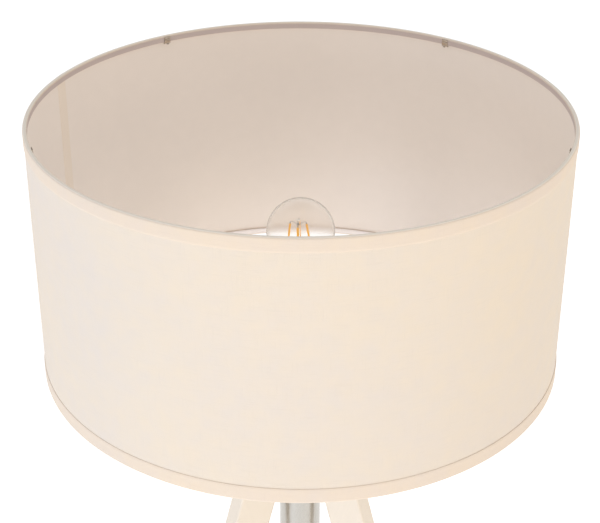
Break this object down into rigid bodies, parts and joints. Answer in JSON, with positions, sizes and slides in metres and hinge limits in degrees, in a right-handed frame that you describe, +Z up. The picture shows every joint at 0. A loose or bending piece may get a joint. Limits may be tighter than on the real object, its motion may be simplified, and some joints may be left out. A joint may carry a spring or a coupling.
{
  "type": "tripod floor lamp",
  "caption": "Floor lamp with a broad white fabric drum shade, a clear bulb in a screw holder, a short round steel column and flat splayed cream wooden legs.",
  "frame": {"origin": "on the floor, under the axis shared by the column, the bulb and the shade", "axes": "+Z up along the column's axis; +Y towards the back leg; +X to the right of a viewer in front of the two front legs"},
  "size_m": [0.6434, 0.5921, 1.4],
  "materials": {
    "leg_lacquer": "cream satin lacquer",
    "column_steel": "polished tube",
    "cap_steel": "satin turned",
    "hub_alloy": "turned",
    "fastener": "zinc plated",
    "pad_felt": "soft matte",
    "holder_plastic": "moulded white",
    "holder_ceramic": "unglazed",
    "brass": "bright",
    "bush_plastic": "moulded",
    "shade_cotton": "plain weave",
    "shade_tape": "folded tape",
    "shade_liner": "satin sheet",
    "frame_paint": "white powder coat",
    "clip_metal": "nickel plated",
    "bulb_glass": "clear",
    "cap_metal": "nickel plated",
    "cap_black": "black vitrite",
    "driver_board": "laminate",
    "phosphor": "amber coating",
    "thin_wire": "drawn wire"
  },
  "bodies": {
    "stand": {"leg_back": "leg_lacquer", "foot_pad_back": "pad_felt", "leg_left": "leg_lacquer", "foot_pad_left": "pad_felt", "leg_right": "leg_lacquer", "foot_pad_right": "pad_felt", "column_tube": "column_steel", "column_top_cap": "cap_steel", "column_bottom_cap": "cap_steel", "threaded_nipple": "cap_steel", "upper_hub": "hub_alloy", "lower_hub": "hub_alloy", "upper_leg_bolts": "fastener", "lower_leg_bolts": "fastener", "upper_bolt_washers": "fastener", "lower_bolt_washers": "fastener", "nipple_nut": "fastener", "terminal_screws": "fastener", "cable_bush": "bush_plastic", "holder_cup": "holder_plastic", "holder_sleeve": "holder_plastic", "support_ring": "holder_plastic", "holder_core": "holder_ceramic", "holder_thread_shell": "brass", "centre_contact": "brass"},
    "shade": {"shade_cover": "shade_cotton", "shade_liner": "shade_liner", "top_hem": "shade_tape", "bottom_hem": "shade_tape", "top_wire_ring": "frame_paint", "bottom_wire_ring": "frame_paint", "fitter_ring": "frame_paint", "shade_arm_front": "frame_paint", "shade_arm_left": "frame_paint", "shade_arm_right": "frame_paint", "rim_clips": "clip_metal"},
    "lock_ring": {"lock_ring": "holder_plastic"},
    "bulb": {"bulb_glass": "bulb_glass", "bulb_cap": "cap_metal", "bulb_cap_insulator": "cap_black", "bulb_contact": "cap_metal", "bulb_driver": "driver_board", "bulb_stem": "bulb_glass", "led_filaments": "phosphor", "filament_wires": "thin_wire"}
  },
  "joints": [
    {"name": "shade_turn", "type": "hinge", "parent": "stand", "child": "shade", "pos_m": [0, 0, 1.22], "axis": [0, 0, 1], "continuous": true},
    {"name": "lock_ring_turn", "type": "hinge", "parent": "stand", "child": "lock_ring", "pos_m": [0, 0, 1.2245], "axis": [0, 0, 1], "range_deg": [0, 1080]},
    {"name": "bulb_lift", "type": "slide", "parent": "stand", "child": "bulb", "axis": [0, 0, 1], "range_m": [0, 0.2]}
  ]
}
